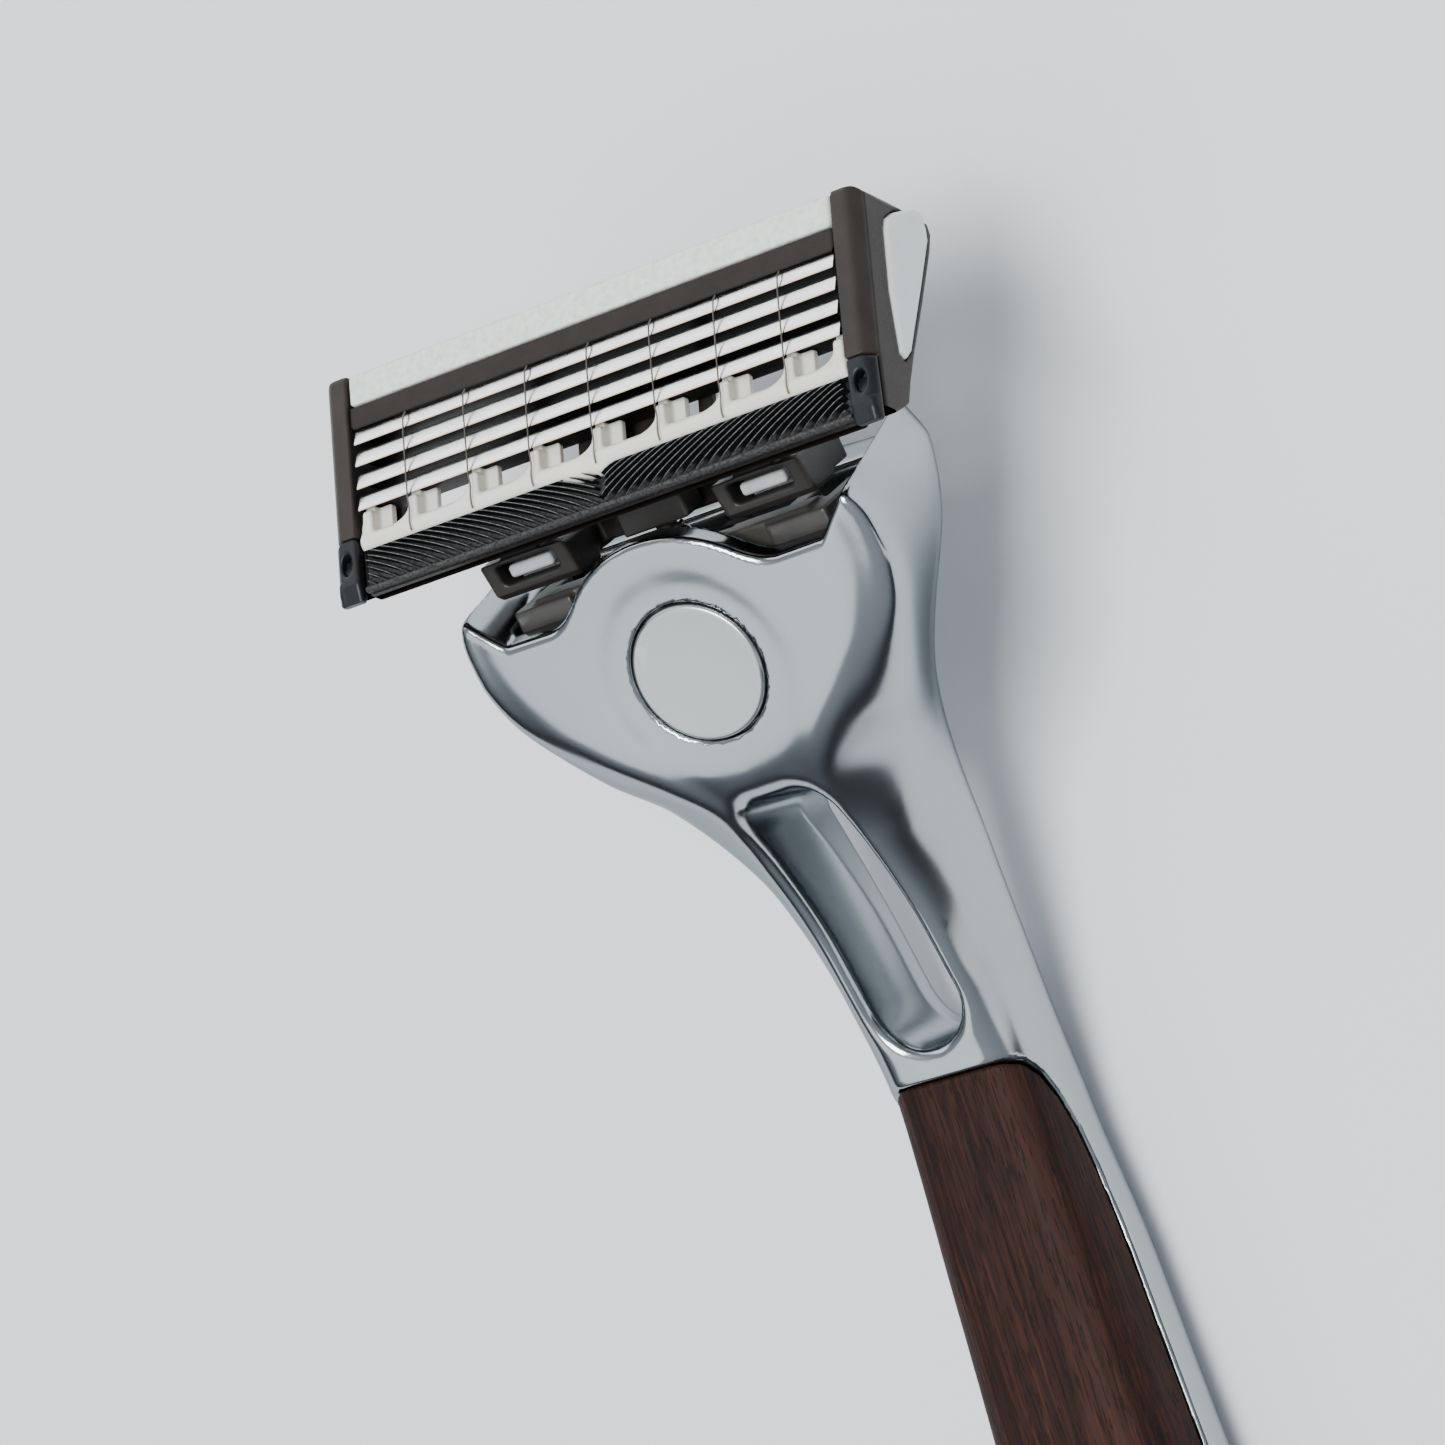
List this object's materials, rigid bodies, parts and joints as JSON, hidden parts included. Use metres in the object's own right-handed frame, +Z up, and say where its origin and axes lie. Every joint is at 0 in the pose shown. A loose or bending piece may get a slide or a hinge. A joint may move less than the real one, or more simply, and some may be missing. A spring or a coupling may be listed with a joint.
{
  "type": "cartridge razor",
  "caption": "Razor with a slotted cast-metal handle, a dark wood inlay and a round release button, holding a pivoting blade cartridge with a lubricating strip, wires and a finned rubber guard.",
  "frame": {"origin": "centre of the footprint on the surface the razor lies on, back down", "axes": "+X to the right along the blades, +Y along the handle towards the cartridge, +Z up, the way the shaving face and the button look"},
  "size_m": [0.0424, 0.1442, 0.028],
  "materials": {
    "handle_metal": "pearl satin plated casting with polished rims",
    "button_metal": "fine satin",
    "wood": "oiled dark open-pored wood with long grain",
    "peg_brass": "turned",
    "spring_steel": "drawn wire",
    "screw_steel": "machined",
    "mechanism_plastic": "moulded matte",
    "carrier_plastic": "moulded satin",
    "catch_plastic": "moulded gloss",
    "pin_steel": "ground",
    "housing_plastic": "moulded with fine texture",
    "cap_plastic": "moulded with fine texture",
    "insert_plastic": "moulded gloss",
    "lug_rubber": "satin",
    "strip_polymer": "uneven waxy surface",
    "comb_plastic": "moulded gloss",
    "guard_rubber": "satin fins",
    "blade_steel": "ground and honed",
    "support_steel": "rolled strip",
    "wire_steel": "drawn wire"
  },
  "bodies": {
    "handle": {"handle_body": "handle_metal", "wood_inlay": "wood", "inlay_peg_upper": "peg_brass", "inlay_peg_lower": "peg_brass", "head_chassis": "mechanism_plastic", "chassis_screw": "screw_steel", "button_spring": "spring_steel", "plunger_spring": "spring_steel"},
    "button": {"release_button": "button_metal"},
    "ejector": {"ejector_plate": "mechanism_plastic"},
    "plunger": {"plunger": "carrier_plastic"},
    "carrier": {"carrier": "carrier_plastic", "catch_left": "catch_plastic", "catch_right": "catch_plastic", "pivot_pin_left": "pin_steel", "pivot_pin_right": "pin_steel"},
    "cartridge": {"cartridge_housing": "housing_plastic", "end_cap_left": "cap_plastic", "end_cap_right": "cap_plastic", "end_insert_left": "insert_plastic", "end_insert_right": "insert_plastic", "corner_lug_left": "lug_rubber", "corner_lug_right": "lug_rubber", "lubricating_strip": "strip_polymer", "guard_bar": "comb_plastic", "rubber_guard": "guard_rubber", "blade_1": "blade_steel", "blade_support_1": "support_steel", "blade_2": "blade_steel", "blade_support_2": "support_steel", "blade_3": "blade_steel", "blade_support_3": "support_steel", "blade_4": "blade_steel", "blade_support_4": "support_steel", "wire_1": "wire_steel", "wire_2": "wire_steel", "wire_3": "wire_steel", "wire_4": "wire_steel", "wire_5": "wire_steel", "wire_6": "wire_steel", "wire_7": "wire_steel"}
  },
  "joints": [
    {"name": "release_button_press", "type": "slide", "parent": "handle", "child": "button", "axis": [0, 0.2436, -0.9699], "range_m": [0, 0.001], "stiffness_N_per_m": 800, "springref_m": -0.0005, "deforming": ["button_spring"]},
    {"name": "ejector_slide", "type": "slide", "parent": "handle", "child": "ejector", "axis": [0, 0.9699, 0.2436], "range_m": [0, 0.0015]},
    {"name": "plunger_slide", "type": "slide", "parent": "handle", "child": "plunger", "axis": [0, -0.9699, -0.2436], "range_m": [0, 0.001], "deforming": ["plunger_spring"]},
    {"name": "carrier_release", "type": "slide", "parent": "handle", "child": "carrier", "axis": [0, 0.9699, 0.2436], "range_m": [0, 0.012]},
    {"name": "cartridge_pivot", "type": "hinge", "parent": "carrier", "child": "cartridge", "pos_m": [0, 0.0595, 0.02374], "axis": [-1, 0, 0], "range_deg": [0, 40], "stiffness_Nm_per_rad": 0.004, "springref_deg": -17.19}
  ],
  "couplings": [
    {"joint": "ejector_slide", "follows": "release_button_press", "ratio": 1.5},
    {"joint": "plunger_slide", "follows": "cartridge_pivot", "m_per_rad": 0.00135}
  ]
}
